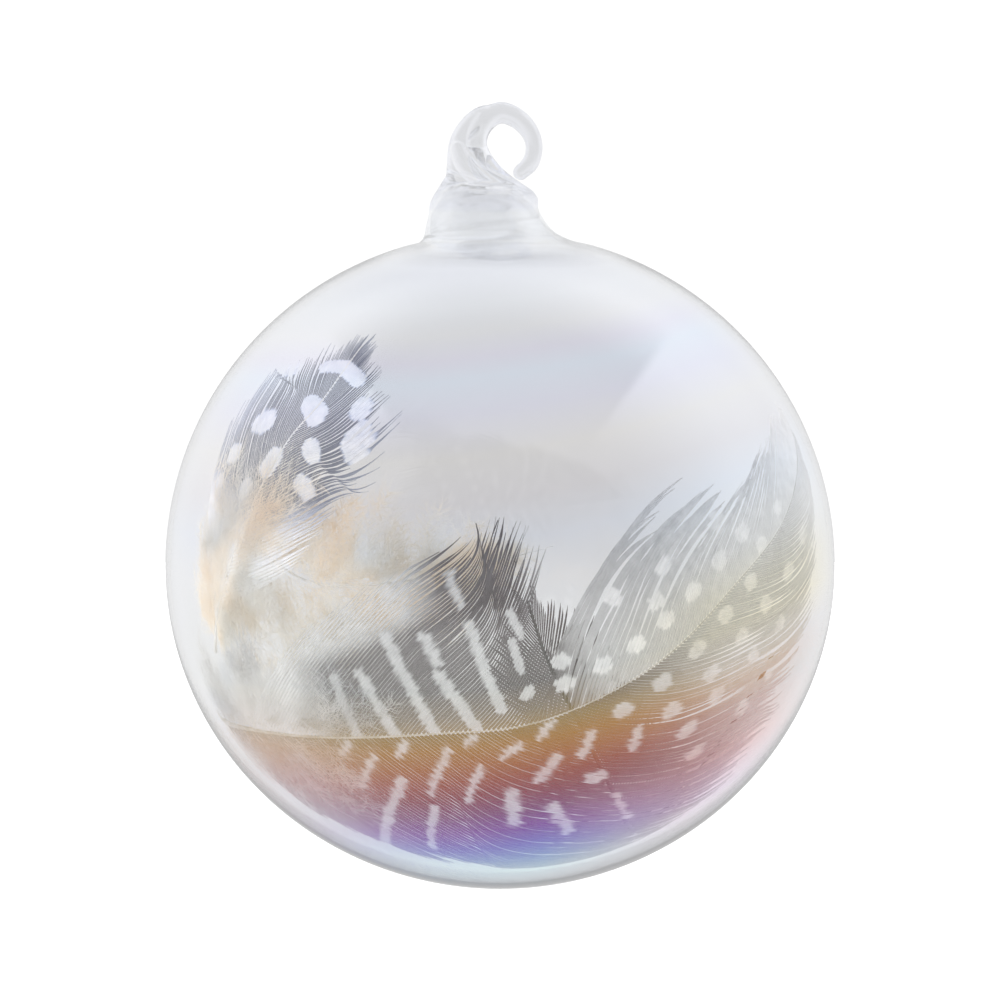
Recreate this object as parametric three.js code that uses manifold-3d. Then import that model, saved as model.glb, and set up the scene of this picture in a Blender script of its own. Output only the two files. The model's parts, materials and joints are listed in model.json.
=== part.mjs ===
// Glass ball ornament: a blown clear globe with a curled glass hook, and loose guinea-fowl
// feathers and a downy plume sealed inside it.
//
// Millimetres, +Z up. The origin is the seat where the hanging thread bears, inside the top of
// the hook's eye. The front is -Y. Every feather lies along a sphere round the globe's centre,
// each on a radius of its own, so any of them can slide round inside the glass without meeting
// the glass or another feather.

import * as THREE from "three";
import { ParametricGeometry } from "three/addons/geometries/ParametricGeometry.js";
import { mergeVertices } from "three/addons/utils/BufferGeometryUtils.js";
import Module from "manifold-3d";

// Globe, measured from its own centre
const GLOBE_R = 40; // outside, at the equator
const GLOBE_TOP = 39.8; // outside height of the upper half, where it would meet the axis
const GLOBE_BOTTOM = 38.7; // outside depth of the lower half, which sagged flatter in the flame
const INNER_R = 39.4; // the wall is thin at the sides
const INNER_TOP = 38.9;
const INNER_BOTTOM = 37.3; // and thicker at the bottom
const NECK_STARTS_R = 11; // radius at which the globe's top turns up into the neck
const BORE_STARTS_R = 10.4; // the same on the inside
const NECK_TOP = 43.4;
const NECK_R = 6.3;
const BORE_R = 5; // the neck's bore at its mouth
const GLOBE_SEGMENTS = 48;
const MERIDIAN_STEPS = 16;
const FLARE_STEPS = 5;
const BORE_STEPS = 4;

// Outlines that turn round the axis, as radius and height
const NECK_OUTSIDE = [[9.1, 39.1], [7.6, 40.1], [6.8, 41.8], [NECK_R, NECK_TOP]];
const NECK_BORE = [[BORE_R, NECK_TOP], [5.5, 41.2], [6.3, 39.6], [8.2, 38.4]];

// The neck leans to the left above this height
const LEAN_FROM = 38.3;
const LEAN_MM = 2;
const LEAN_OVER = 1.6;

// Seal and hook
const SEAL_TOP = 46.4;
const SEAL_OUTSIDE = [
  [NECK_R, NECK_TOP],
  [5.9, 44.1],
  [5.2, 44.8],
  [4.5, 45.6],
  [3.7, 46.1],
  [2.6, SEAL_TOP],
];
const SEAT_X = 0.5; // the thread seat, from the globe's centre
const SEAT_Z = 52.85;
const SEAT_LENGTH = 1.6;
const SEAT_WIDTH = 3;
const SEAT_CUT_DEPTH = 1;
const FOOT_CUT_SPAN = 20; // the block that cuts the hook's foot level, wider than the foot
const FOOT_CUT_DEPTH = 10;
// The middle of the hook's rod from its foot to its tip, as X and Z
const HOOK_LINE = [
  [-1.9, 45],
  [-3.1, 47],
  [-4.05, 49],
  [-3.7, 51.2],
  [-2.3, 53.1],
  [0.4, 54.05],
  [2.9, 53],
  [4.15, 50.9],
  [4.15, 49],
  [3.5, 47.75],
  [2.5, 47.15],
];
// The rod's radius at fractions of that line's length
const HOOK_THICKNESS = [
  [0, 1.9],
  [0.16, 2.35],
  [0.3, 2.2],
  [0.5, 1.35],
  [0.75, 0.95],
  [0.92, 1.1],
  [1, 0.75],
];
const HOOK_ROWS = 34;
const HOOK_AROUND = 16;

// Feathers: the radius of the sphere that each one lies on
const MAIN_RADIUS = 38.4;
const MAIN_FLATTENING = 1.6; // how much nearer the centre the main feather runs at the very bottom
const LEFT_RADIUS = 36.9;
const BACK_RADIUS = 36.2;
const PLUME_RADIUS = 34.9;
const VANE_HALF = 0.18; // half of a vane's thickness
const DOWN_HALF = 0.3; // half of a down pad's thickness
const PLUME_HALF = 0.7;
const SHAFT_GAP = 0.3; // from a shaft to the vane beside it
const EDGE_TAPER = 3; // a vane thins over this width, in mm
const VANE_ROWS = 22;
const VANE_AROUND = 12;
const SHAFT_ROWS = 26;
const SHAFT_AROUND = 8;

const TAU = 2 * Math.PI;
const radians = THREE.MathUtils.degToRad;
const clamp = THREE.MathUtils.clamp;

const GLASS = { color: 0xdfe3ea, roughness: 0.03, metalness: 0, transparent: true, opacity: 0.35 };
const VANE = { color: 0x857b80, roughness: 0.75, metalness: 0 };
const DOWN = { color: 0xf1ede6, roughness: 0.95, metalness: 0 };
const QUILL = { color: 0xd9cdbb, roughness: 0.5, metalness: 0 };

function part(name, geometry, finish) {
  const made = new THREE.Mesh(geometry, new THREE.MeshStandardMaterial(finish));
  made.name = name;
  return made;
}

// Makes a function of t from stations [t, value] in order of t, flat at each station.
function through(stations) {
  return (t) => {
    const next = stations.findIndex(([at]) => at >= t);
    if (next < 0) return stations[stations.length - 1][1];
    if (next === 0) return stations[0][1];
    const [from, low] = stations[next - 1];
    const [to, high] = stations[next];
    return low + (high - low) * THREE.MathUtils.smoothstep(t, from, to);
  };
}

// A closed body made of loops for t from 0 to 1. Both end loops are filled from their middles.
function loftedBody(loopPoint, middle, rows, around) {
  return new ParametricGeometry(
    (u, v, target) => {
      const row = v * (rows + 2);
      const t = clamp((row - 1) / rows, 0, 1);
      const onCap = row < 0.5 || row > rows + 1.5;
      target.copy(onCap ? middle(t) : loopPoint(t, (u % 1) * TAU));
    },
    around,
    rows + 2,
  );
}

// ---------------------------------------------------------------- glass

// How far the neck, seal and hook root have slumped sideways at a height
function lean(z) {
  return z > LEAN_FROM ? -LEAN_MM * (1 - Math.exp((LEAN_FROM - z) / LEAN_OVER)) : 0;
}

function leaned(geometry) {
  const at = geometry.getAttribute("position");
  for (let i = 0; i < at.count; i++) at.setX(i, at.getX(i) + lean(at.getZ(i)));
  return geometry;
}

function turned(profile) {
  const geometry = new THREE.LatheGeometry(profile, GLOBE_SEGMENTS);
  geometry.rotateX(Math.PI / 2); // the lathe turns about Y, and the globe stands on Z
  return leaned(geometry);
}

// An arc of the globe's meridian, from the bottom pole up to where its radius shrinks to topR
function meridian(radius, bottom, top, topR) {
  const last = Math.acos(topR / radius);
  const points = [];
  for (let i = 0; i <= MERIDIAN_STEPS; i++) {
    const angle = -Math.PI / 2 + ((last + Math.PI / 2) * i) / MERIDIAN_STEPS;
    const height = angle < 0 ? bottom : top;
    const r = i === 0 ? 0 : radius * Math.cos(angle);
    points.push(new THREE.Vector2(r, height * Math.sin(angle)));
  }
  return points;
}

function outlineOf(points) {
  return points.map(([r, z]) => new THREE.Vector2(r, z));
}

function globe() {
  const outside = meridian(GLOBE_R, GLOBE_BOTTOM, GLOBE_TOP, NECK_STARTS_R);
  const flare = new THREE.SplineCurve(outlineOf(NECK_OUTSIDE)).getPoints(FLARE_STEPS);
  const bore = new THREE.SplineCurve(outlineOf(NECK_BORE)).getPoints(BORE_STEPS);
  const inside = meridian(INNER_R, INNER_BOTTOM, INNER_TOP, BORE_STARTS_R).reverse();
  return turned([...outside, ...flare, ...bore, ...inside]);
}

function seal() {
  return turned(outlineOf([[0, NECK_TOP], ...SEAL_OUTSIDE, [0, SEAL_TOP]]));
}

// The hook's rod: it stands on the seal, thick and upright, and thins as it curls over the eye.
function hookBody() {
  const line = new THREE.CatmullRomCurve3(HOOK_LINE.map(([x, z]) => new THREE.Vector3(x, 0, z)));
  const thickness = through(HOOK_THICKNESS);
  const across = new THREE.Vector3(0, 1, 0);
  const middle = (t) => line.getPointAt(t);
  const loopPoint = (t, turn) => {
    const tangent = line.getTangentAt(t);
    const inward = new THREE.Vector3().crossVectors(tangent, across).normalize();
    return middle(t)
      .addScaledVector(across, thickness(t) * Math.sin(turn))
      .addScaledVector(inward, -thickness(t) * Math.cos(turn));
  };
  return loftedBody(loopPoint, middle, HOOK_ROWS, HOOK_AROUND);
}

const wasm = await Module();
wasm.setup();

function solidOf(geometry) {
  const bare = geometry.clone();
  bare.deleteAttribute("normal");
  bare.deleteAttribute("uv");
  const merged = mergeVertices(bare, 1e-3);
  return new wasm.Manifold(
    new wasm.Mesh({
      numProp: 3,
      vertProperties: merged.getAttribute("position").array,
      triVerts: new Uint32Array(merged.index.array),
    }),
  );
}

function geometryOf(solid) {
  const mesh = solid.getMesh();
  const made = new THREE.BufferGeometry();
  made.setAttribute("position", new THREE.BufferAttribute(mesh.vertProperties, 3));
  made.setIndex(new THREE.BufferAttribute(mesh.triVerts, 1));
  return made;
}

function blockBelow(top, x, length, width, depth) {
  const block = new THREE.BoxGeometry(length, width, depth);
  block.translate(x, 0, top - depth / 2);
  return solidOf(block);
}

// The hook, cut level where it stands on the seal, and with the small flat that the thread
// bears on at the top of the eye
function hook() {
  const foot = blockBelow(SEAL_TOP, 0, FOOT_CUT_SPAN, FOOT_CUT_SPAN, FOOT_CUT_DEPTH);
  const seat = blockBelow(SEAT_Z, SEAT_X, SEAT_LENGTH, SEAT_WIDTH, SEAT_CUT_DEPTH);
  return geometryOf(solidOf(hookBody()).subtract(foot).subtract(seat));
}

// ---------------------------------------------------------------- feathers

// A direction from the globe's centre: azimuth from the front towards the right, and elevation
function direction(azimuth, elevation) {
  const a = radians(azimuth);
  const e = radians(elevation);
  return new THREE.Vector3(Math.cos(e) * Math.sin(a), -Math.cos(e) * Math.cos(a), Math.sin(e));
}

// A shaft's line from base to tip, as directions, with the sphere that the feather lies on
function layOf(stations, radiusAt) {
  const line = new THREE.CatmullRomCurve3(stations.map(([a, e]) => direction(a, e)));
  const out = (t) => line.getPointAt(t).normalize();
  const along = (t) => {
    const d = out(t);
    const tangent = line.getTangentAt(t);
    return tangent.addScaledVector(d, -tangent.dot(d)).normalize();
  };
  const side = (t) => new THREE.Vector3().crossVectors(out(t), along(t));
  // The point a distance s round the sphere from the shaft, and lift above the sphere
  const point = (t, s, lift) => {
    const arc = s / radiusAt(out(t));
    const d = out(t).multiplyScalar(Math.cos(arc)).addScaledVector(side(t), Math.sin(arc));
    return d.clone().multiplyScalar(radiusAt(d) + lift);
  };
  return { point };
}

function shaft(lay, thickness) {
  const loopPoint = (t, turn) =>
    lay.point(t, -thickness(t) * Math.sin(turn), thickness(t) * Math.cos(turn));
  return loftedBody(loopPoint, (t) => lay.point(t, 0, 0), SHAFT_ROWS, SHAFT_AROUND);
}

// One side of a feather: a thin lens that starts beside the shaft. hand is 1 on the left of the
// shaft, seen from outside with the tip away, and -1 on its right.
function web(lay, thickness, hand, widths, half) {
  const from = widths[0][0];
  const to = widths[widths.length - 1][0];
  const width = through(widths);
  const section = (t) => {
    const at = from + (to - from) * t;
    const start = thickness(at) + SHAFT_GAP;
    const reach = width(at) / 2;
    return { at, reach, middle: hand * (start + reach), lift: half * clamp(reach / EDGE_TAPER, 0, 1) };
  };
  const loopPoint = (t, turn) => {
    const s = section(t);
    return lay.point(s.at, s.middle - s.reach * Math.sin(turn), s.lift * Math.cos(turn));
  };
  const centre = (t) => lay.point(section(t).at, section(t).middle, 0);
  return loftedBody(loopPoint, centre, VANE_ROWS, VANE_AROUND);
}

// Adds a feather's pieces. Each side names its widths in mm at stations along the shaft.
function addFeather(group, name, { line, radiusAt, quill, webs }) {
  const lay = layOf(line, radiusAt);
  const thickness = through(quill);
  group.add(part(name + "_shaft", shaft(lay, thickness), QUILL));
  for (const { label, hand, widths, half, finish } of webs)
    group.add(part(name + "_" + label, web(lay, thickness, hand, widths, half), finish));
}

// The long barred feather: from the left wall low across the front to the right wall
const mainFeather = {
  line: [
    [-86, -27.5],
    [-60, -30],
    [-35, -31],
    [-13, -30],
    [6, -28],
    [29, -17],
    [45, -3],
    [60, 8],
    [84, 26],
  ],
  radiusAt: (d) => MAIN_RADIUS - (d.z < 0 ? MAIN_FLATTENING * d.z * d.z : 0),
  quill: [
    [0, 0.35],
    [0.06, 0.55],
    [0.5, 0.42],
    [1, 0.16],
  ],
  webs: [
    {
      label: "upper_vane",
      hand: 1,
      widths: [[0.29, 0], [0.37, 17], [0.47, 23], [0.63, 22], [0.75, 13], [0.9, 9.5], [1, 0]],
      half: VANE_HALF,
      finish: VANE,
    },
    {
      label: "lower_vane",
      hand: -1,
      widths: [[0.25, 0], [0.34, 21], [0.45, 25], [0.6, 20], [0.72, 18], [0.9, 11], [1, 0]],
      half: VANE_HALF,
      finish: VANE,
    },
    {
      label: "upper_down",
      hand: 1,
      widths: [[0.07, 0], [0.16, 9], [0.28, 0]],
      half: DOWN_HALF,
      finish: DOWN,
    },
    {
      label: "lower_down",
      hand: -1,
      widths: [[0.04, 0], [0.14, 14], [0.24, 0]],
      half: DOWN_HALF,
      finish: DOWN,
    },
  ],
};

// The short spotted feather: its tip is high on the left
const leftFeather = {
  line: [
    [-70, -16],
    [-58, 1],
    [-50.5, 15],
    [-46, 24],
    [-41, 31],
    [-38.5, 38],
    [-37, 44],
  ],
  radiusAt: () => LEFT_RADIUS,
  quill: [
    [0, 0.35],
    [0.5, 0.3],
    [1, 0.15],
  ],
  webs: [
    {
      label: "outer_vane",
      hand: 1,
      widths: [[0.44, 0], [0.6, 16], [0.85, 17], [1, 0]],
      half: VANE_HALF,
      finish: VANE,
    },
    {
      label: "inner_vane",
      hand: -1,
      widths: [[0.44, 0], [0.6, 14], [0.8, 12], [1, 0]],
      half: VANE_HALF,
      finish: VANE,
    },
    {
      label: "outer_down",
      hand: 1,
      widths: [[0.06, 0], [0.25, 11], [0.43, 0]],
      half: VANE_HALF,
      finish: DOWN,
    },
    {
      label: "inner_down",
      hand: -1,
      widths: [[0.06, 0], [0.25, 11], [0.43, 0]],
      half: VANE_HALF,
      finish: DOWN,
    },
  ],
};

// The feather behind the main one: it comes from the right wall, under the globe, to the front
const backFeather = {
  line: [
    [106, -18],
    [110, -31],
    [108, -45],
    [90, -57],
    [57, -59],
    [30, -45],
    [17, -30],
    [9, -17],
    [5, -6],
  ],
  radiusAt: () => BACK_RADIUS,
  quill: [
    [0, 0.3],
    [0.3, 0.35],
    [1, 0.16],
  ],
  webs: [
    {
      label: "left_vane",
      hand: 1,
      widths: [[0.36, 0], [0.52, 11], [0.8, 9], [1, 0]],
      half: VANE_HALF,
      finish: VANE,
    },
    {
      label: "right_vane",
      hand: -1,
      widths: [[0.36, 0], [0.52, 12], [0.8, 10], [1, 0]],
      half: VANE_HALF,
      finish: VANE,
    },
    {
      label: "left_down",
      hand: 1,
      widths: [[0.04, 0], [0.18, 11], [0.35, 0]],
      half: VANE_HALF,
      finish: DOWN,
    },
    {
      label: "right_down",
      hand: -1,
      widths: [[0.04, 0], [0.18, 11], [0.35, 0]],
      half: VANE_HALF,
      finish: DOWN,
    },
  ],
};

// The cream plume, all down, on the innermost sphere
const downyPlume = {
  line: [
    [-70, 9],
    [-53, 3],
    [-38, -3],
    [-22, -3],
    [-6, 0],
    [10, 4],
  ],
  radiusAt: () => PLUME_RADIUS,
  quill: [
    [0, 0.35],
    [1, 0.14],
  ],
  webs: [
    {
      label: "upper_down",
      hand: 1,
      widths: [[0.1, 0], [0.35, 12], [0.75, 9], [1, 0]],
      half: PLUME_HALF,
      finish: DOWN,
    },
    {
      label: "lower_down",
      hand: -1,
      widths: [[0.1, 0], [0.35, 15], [0.75, 11], [1, 0]],
      half: PLUME_HALF,
      finish: DOWN,
    },
  ],
};

// ---------------------------------------------------------------- assembly

const ornament = new THREE.Group();
const aboutCentre = new THREE.Group();
aboutCentre.position.set(-SEAT_X, 0, -SEAT_Z); // the pieces are drawn about the globe's centre
ornament.add(aboutCentre);

aboutCentre.add(part("glass_globe", globe(), GLASS));
aboutCentre.add(part("neck_seal", seal(), GLASS));
aboutCentre.add(part("hanging_hook", hook(), GLASS));
addFeather(aboutCentre, "main", mainFeather);
addFeather(aboutCentre, "left", leftFeather);
addFeather(aboutCentre, "back", backFeather);
addFeather(aboutCentre, "plume", downyPlume);

export default ornament;
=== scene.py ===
"""Glass ball ornament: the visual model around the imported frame.

Shapes are worked out in millimetres about the globe's centre and then moved into the row frame.
A feather's barbs are placed by how far along and across its shaft they are, on the sphere that
the feather lies on.
"""

import json
import math

import bpy
import numpy as np
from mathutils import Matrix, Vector


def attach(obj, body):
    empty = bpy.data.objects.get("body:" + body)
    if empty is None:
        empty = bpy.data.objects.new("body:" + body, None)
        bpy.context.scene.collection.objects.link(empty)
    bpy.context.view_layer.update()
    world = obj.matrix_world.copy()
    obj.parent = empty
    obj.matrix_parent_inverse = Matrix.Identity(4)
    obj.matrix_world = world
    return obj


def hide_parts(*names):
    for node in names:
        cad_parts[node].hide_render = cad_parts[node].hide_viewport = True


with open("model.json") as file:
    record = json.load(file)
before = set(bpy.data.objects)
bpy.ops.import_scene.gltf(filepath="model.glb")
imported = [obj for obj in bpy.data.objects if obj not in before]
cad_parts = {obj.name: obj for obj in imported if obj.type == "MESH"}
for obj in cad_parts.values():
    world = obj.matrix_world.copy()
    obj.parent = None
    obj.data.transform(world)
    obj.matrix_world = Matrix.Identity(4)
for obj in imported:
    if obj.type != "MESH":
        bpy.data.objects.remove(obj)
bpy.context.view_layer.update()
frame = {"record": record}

CENTRE = np.array(frame["record"]["behaviour"]["joints"][0]["pos_m"])
MM = 0.001


# ---- meshes from arrays

def make_piece(
    name, points, faces, material, body=None, nodes=(), smooth=True, colour=None
):
    """A mesh from points in mm about the globe's centre, and a finished piece if it has a body.
    faces is a list of index arrays, one row a face. colour holds one grey value a point, for the
    attribute 'white'."""
    corners = np.concatenate([f.ravel() for f in faces]).astype(np.int32)
    sizes = np.concatenate([np.full(len(f), f.shape[1], np.int32) for f in faces])
    mesh = bpy.data.meshes.new(name)
    mesh.vertices.add(len(points))
    mesh.vertices.foreach_set("co", (points * MM + CENTRE).astype(np.float32).ravel())
    mesh.loops.add(len(corners))
    mesh.loops.foreach_set("vertex_index", corners)
    mesh.polygons.add(len(sizes))
    mesh.polygons.foreach_set("loop_start", np.concatenate([[0], np.cumsum(sizes)[:-1]]).astype(np.int32))
    mesh.polygons.foreach_set("loop_total", sizes)
    mesh.polygons.foreach_set("use_smooth", np.full(len(sizes), smooth))
    if colour is not None:
        layer = mesh.attributes.new("white", "FLOAT", "POINT")
        layer.data.foreach_set("value", colour.astype(np.float32))
    mesh.update(calc_edges=True)
    mesh.validate()
    mesh.materials.append(material)
    made = placed(name, mesh)
    if body:
        finish_piece(made, body, nodes)
    return made


def placed(name, data):
    """An object that holds data, in the scene."""
    made = bpy.data.objects.new(name, data)
    bpy.context.scene.collection.objects.link(made)
    return made


def finish_piece(made, body, nodes):
    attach(made, body)
    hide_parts(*nodes)


def stations(table):
    """A smooth function of x from rows (x, value)."""
    xs, ys = np.array(table, float).T

    def value(x):
        x = np.asarray(x, float)
        i = np.clip(np.searchsorted(xs, x) - 1, 0, len(xs) - 2)
        f = np.clip((x - xs[i]) / (xs[i + 1] - xs[i]), 0, 1)
        f = f * f * (3 - 2 * f)
        return ys[i] + (ys[i + 1] - ys[i]) * f

    return value


def stations_straight(table):
    xs, ys = np.array(table, float).T
    return lambda x: np.interp(x, xs, ys)


def smooth_step(x, low, high):
    f = np.clip((x - low) / (high - low), 0, 1)
    return f * f * (3 - 2 * f)


def unit(v):
    return v / np.maximum(np.linalg.norm(v, axis=-1, keepdims=True), 1e-9)


def strands(paths, half_width, half_height, up, sides=3):
    """Closed thin strips along paths (count, steps, 3): a section of three or more sides whose
    width and height are given for each point. up is the direction that the height points in."""
    count, steps, _ = paths.shape
    along = unit(np.gradient(paths, axis=1))
    across = unit(np.cross(along, up))
    lift = unit(np.cross(across, along))
    turns = np.pi / 2 + 2 * np.pi * np.arange(sides) / sides
    rings = (
        paths[:, :, None, :]
        + across[:, :, None, :] * (half_width[..., None] * np.cos(turns))[..., None]
        + lift[:, :, None, :] * (half_height[..., None] * np.sin(turns))[..., None]
    )
    points = rings.reshape(-1, 3)
    start = (np.arange(count) * steps * sides)[:, None, None]
    ring = (np.arange(steps - 1) * sides)[None, :, None]
    k = np.arange(sides)[None, None, :]
    k_next = (k + 1) % sides
    a, b = start + ring + k, start + ring + k_next
    quads = np.stack([a, b, b + sides, a + sides], axis=-1).reshape(-1, 4)
    first = (start[:, 0, 0][:, None] + np.arange(sides)[::-1][None, :])
    last = (start[:, 0, 0][:, None] + (steps - 1) * sides + np.arange(sides)[None, :])
    caps = np.concatenate([first, last])
    return points, [quads, caps]


def spikes(paths, thickness, up):
    """Closed three-sided threads along paths (count, 3, 3), each ending in a point."""
    along = unit(paths[:, -1] - paths[:, 0])
    across = unit(np.cross(along, up))
    lift = np.cross(across, along)
    turns = 2 * np.pi * np.arange(3) / 3
    ring = across[:, None] * np.cos(turns)[:, None] + lift[:, None] * np.sin(turns)[:, None]
    ring = ring * thickness[:, None, None]
    points = np.concatenate(
        [paths[:, :1] + ring, paths[:, 1:2] + 0.75 * ring, paths[:, 2:]], axis=1
    ).reshape(-1, 3)
    start = (np.arange(len(paths)) * 7)[:, None, None]
    k = np.arange(3)[None, :]
    k_next = (k + 1) % 3
    k_tip = np.full_like(k, 6)
    quads = (start + np.stack([k, k_next, k_next + 3, k + 3], -1)).reshape(-1, 4)
    tips = (start + np.stack([k + 3, k_next + 3, k_tip], -1)).reshape(-1, 3)
    caps = start[:, 0] + np.array([[2, 1, 0]])
    return points, [quads, tips, caps]


# ---- where a feather lies

def direction(azimuth, elevation):
    a, e = math.radians(azimuth), math.radians(elevation)
    return np.array([math.cos(e) * math.sin(a), -math.cos(e) * math.cos(a), math.sin(e)])


class Lay:
    """The line of a feather's shaft over its sphere. along is in mm from the shaft's base, and
    across in mm from the shaft, more than 0 on its left seen from outside with the tip away."""

    def __init__(self, line, radius_at, length):
        knots = np.array([direction(*d) for d in line])
        ends = np.vstack([2 * knots[0] - knots[1], knots, 2 * knots[-1] - knots[-2]])
        path = []
        for i in range(len(knots) - 1):
            p = ends[i : i + 4]
            t = np.concatenate([[0], np.cumsum(np.linalg.norm(np.diff(p, axis=0), axis=1) ** 0.5)])
            for s in np.linspace(t[1], t[2], 60, endpoint=i == len(knots) - 2):
                a = [((t[j + 1] - s) * p[j] + (s - t[j]) * p[j + 1]) / (t[j + 1] - t[j]) for j in range(3)]
                b = [((t[j + 2] - s) * a[j] + (s - t[j]) * a[j + 1]) / (t[j + 2] - t[j]) for j in range(2)]
                path.append(((t[2] - s) * b[0] + (s - t[1]) * b[1]) / (t[2] - t[1]))
        out = unit(np.array(path))
        steps = np.linalg.norm(np.diff(out, axis=0), axis=1)
        at = np.concatenate([[0], np.cumsum(steps)])
        per_mm = at[-1] / length
        # The line goes on straight round the sphere beyond the tip, for the barbs that reach past it
        ahead = unit(out[-1] - out[-2])
        ahead = unit(ahead - ahead.dot(out[-1]) * out[-1])
        extra = np.linspace(0.5, 25, 50)
        arc = (extra * per_mm)[:, None]
        out = np.vstack([out, out[-1] * np.cos(arc) + ahead * np.sin(arc)])
        self.at = np.concatenate([at / per_mm, length + extra])
        self.out = out
        forward = np.gradient(out, self.at, axis=0)
        self.along = unit(forward - (forward * out).sum(1)[:, None] * out)
        self.radius_at = radius_at
        self.length = length

    def point(self, a, s, lift=0.0):
        """Points at a along and s across, lift above the feather's sphere, with the way out."""
        a = np.clip(a, 0, self.at[-1])
        out = np.stack([np.interp(a, self.at, self.out[:, i]) for i in range(3)], -1)
        out = unit(out)
        along = unit(np.stack([np.interp(a, self.at, self.along[:, i]) for i in range(3)], -1))
        side = np.cross(out, along)
        arc = (s / self.radius_at(out))[..., None]
        d = out * np.cos(arc) + side * np.sin(arc)
        return d * (self.radius_at(d) + lift)[..., None], d


MAIN_RADIUS, MAIN_FLATTENING = 38.4, 1.6
LEFT_RADIUS, BACK_RADIUS, PLUME_RADIUS = 36.9, 36.2, 34.9

main_lay = Lay(
    [(-86, -27.5), (-60, -30), (-35, -31), (-13, -30), (6, -28), (29, -17), (45, -3), (60, 8), (84, 26)],
    lambda d: MAIN_RADIUS - MAIN_FLATTENING * np.minimum(d[..., 2], 0) ** 2,
    114.5,
)
left_lay = Lay(
    [(-70, -16), (-58, 1), (-50.5, 15), (-46, 24), (-41, 31), (-38.5, 38), (-37, 44)],
    lambda d: np.full(d.shape[:-1], LEFT_RADIUS),
    44,
)
back_lay = Lay(
    [(106, -18), (110, -31), (108, -45), (90, -57), (57, -59), (30, -45), (17, -30), (9, -17), (5, -6)],
    lambda d: np.full(d.shape[:-1], BACK_RADIUS),
    81,
)
plume_lay = Lay(
    [(-70, 9), (-53, 3), (-38, -3), (-22, -3), (-6, 0), (10, 4)],
    lambda d: np.full(d.shape[:-1], PLUME_RADIUS),
    50,
)


def quill(name, lay, thickness, material, body, node):
    """The shaft: a tapered tube, a little wider than it is high."""
    a = np.linspace(0, lay.length, 160)
    paths, out = lay.point(a, np.zeros_like(a))
    r = stations(thickness)(a / lay.length)
    points, faces = strands(paths[None], r[None], 0.8 * r[None], out[None], sides=10)
    return make_piece(name, points, faces, material, body, [node])


# ---- vanes

# How white a spot is, from 0 for the darkest barbs to 1 for white down, and how soft its edge is
SPOT, SPOT_EDGE = 0.65, 0.1
# A bar is drawn wider than its row says, as its soft edge makes it look narrower
BAR_WIDER = 1.22
# In mm: how unevenly the barbs lie, how far from the shaft's middle they start, and the room
# that one barb can take up
UNEVEN, ROOT, LEAST_ROOM, MOST_ROOM = 0.006, 0.12, 0.12, 0.9
# How much of its room a barb covers in a white spot: more than 1, as its section is a triangle
SPOT_COVER = 1.12
# Where along a barb, from 0 at its root to 1 at its tip: its lock turns aside, it turns on its own,
# its locks gather, it thins out, and it tapers to its tip, which is TIP_WIDTH of its width
LOCK_TURNS, BARB_TURNS, GATHERS, THINS, TAPERS, TIP_WIDTH = 0.7, 0.8, 0.5, 0.6, 0.86, 0.2
# A slow waver that neighbouring barbs share: its angle, and its pace from barb to barb and outwards
WAVER, WAVER_PACE, WAVER_OUT, RIPPLE_PACE = 0.012, 0.35, 9, 0.55
# How a barb's height follows from half its width: in mm, and as a share
BARB_HEIGHT, BARB_HEIGHT_SHARE = 0.03, 0.12


def spot_whiteness(a, s, bars):
    """1 inside any of the bars and 0 outside. A bar is two ends, each along and across, and half
    its width."""
    white = np.zeros_like(a)
    for (a0, s0), (a1, s1), half in bars:
        da, ds = a1 - a0, s1 - s0
        span = max(da * da + ds * ds, 1e-6)
        f = np.clip(((a - a0) * da + (s - s0) * ds) / span, 0, 1)
        gap = np.hypot(a - a0 - f * da, s - s0 - f * ds)
        wide = BAR_WIDER * half
        white = np.maximum(white, 1 - smooth_step(gap, wide - SPOT_EDGE, wide + SPOT_EDGE))
    return white


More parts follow.
